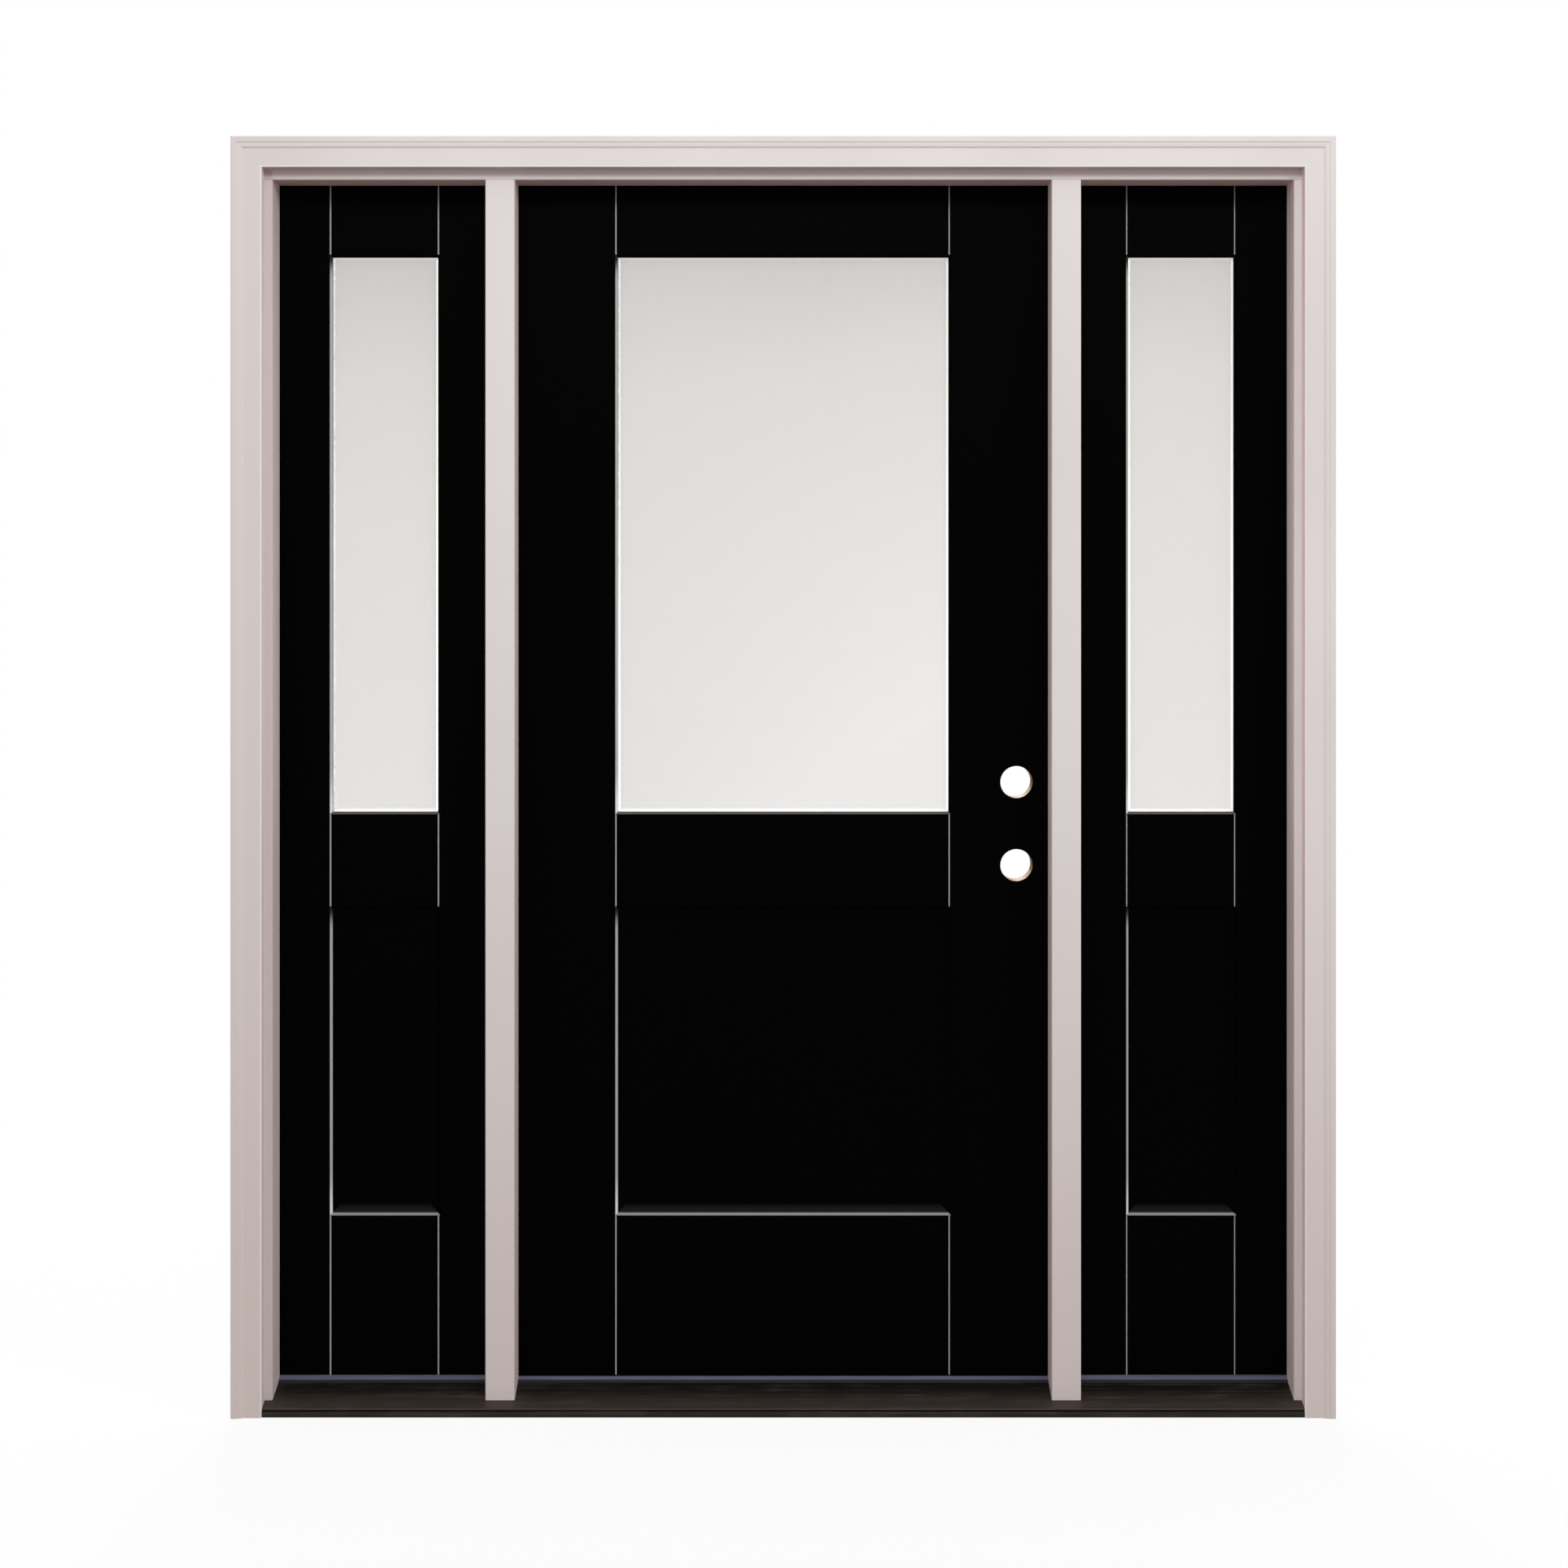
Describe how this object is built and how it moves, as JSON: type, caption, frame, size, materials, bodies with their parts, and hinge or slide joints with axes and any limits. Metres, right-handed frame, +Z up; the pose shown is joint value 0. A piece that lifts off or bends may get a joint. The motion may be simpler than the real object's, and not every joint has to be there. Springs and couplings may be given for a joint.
{
  "type": "entry door with sidelights",
  "caption": "Black half-glass entry door between matching sidelights in an off-white moulded frame on a dark sloped sill; the leaf swings inwards and is bored for locks.",
  "frame": {"origin": "centre of the sill's underside, in the plane of the frame's outer edge that the brickmould is nailed to", "axes": "+X to the right seen from outside, +Y into the building, +Z up"},
  "size_m": [1.8188, 0.1625, 2.1102],
  "materials": {
    "primed_frame": "satin",
    "black_skin": "satin",
    "stile_timber": "matte",
    "foam_core": "matte",
    "clear_glass": "polished",
    "frosted_glass": "satin",
    "white_spacer": "matte",
    "bronze_deck": "satin",
    "threshold_grey": "satin",
    "sill_composite": "matte",
    "seal_foam": "matte",
    "sweep_rubber": "matte",
    "hinge_nickel": "satin"
  },
  "bodies": {
    "frame": {"sill_base": "sill_composite", "sill_deck": "bronze_deck", "door_threshold_cap": "threshold_grey", "left_threshold_cap": "threshold_grey", "right_threshold_cap": "threshold_grey", "left_jamb": "primed_frame", "right_jamb": "primed_frame", "head_jamb": "primed_frame", "hinge_post": "primed_frame", "strike_post": "primed_frame", "left_brickmould": "primed_frame", "right_brickmould": "primed_frame", "head_brickmould": "primed_frame", "hinge_side_weatherstrip": "seal_foam", "strike_side_weatherstrip": "seal_foam", "head_weatherstrip": "seal_foam", "left_sidelight_seal": "seal_foam", "right_sidelight_seal": "seal_foam", "hinge_frame_leaves": "hinge_nickel", "hinge_pins": "hinge_nickel", "left_sidelight_exterior_skin": "black_skin", "left_sidelight_interior_skin": "black_skin", "left_sidelight_core": "foam_core", "left_sidelight_outer_glass": "frosted_glass", "left_sidelight_inner_glass": "clear_glass", "left_sidelight_spacer": "white_spacer", "right_sidelight_exterior_skin": "black_skin", "right_sidelight_interior_skin": "black_skin", "right_sidelight_core": "foam_core", "right_sidelight_outer_glass": "frosted_glass", "right_sidelight_inner_glass": "clear_glass", "right_sidelight_spacer": "white_spacer"},
    "door": {"door_exterior_skin": "black_skin", "door_interior_skin": "black_skin", "door_hinge_stile": "stile_timber", "door_lock_stile": "stile_timber", "door_top_rail": "stile_timber", "door_foot_rail": "stile_timber", "door_foam_core": "foam_core", "door_outer_glass": "frosted_glass", "door_inner_glass": "clear_glass", "door_glass_spacer": "white_spacer", "door_sweep": "sweep_rubber", "hinge_door_leaves": "hinge_nickel"}
  },
  "joints": [
    {"name": "door_swing", "type": "hinge", "parent": "frame", "child": "door", "pos_m": [-0.455, 0.1235, 0], "axis": [0, 0, 1], "range_deg": [0, 180]}
  ]
}
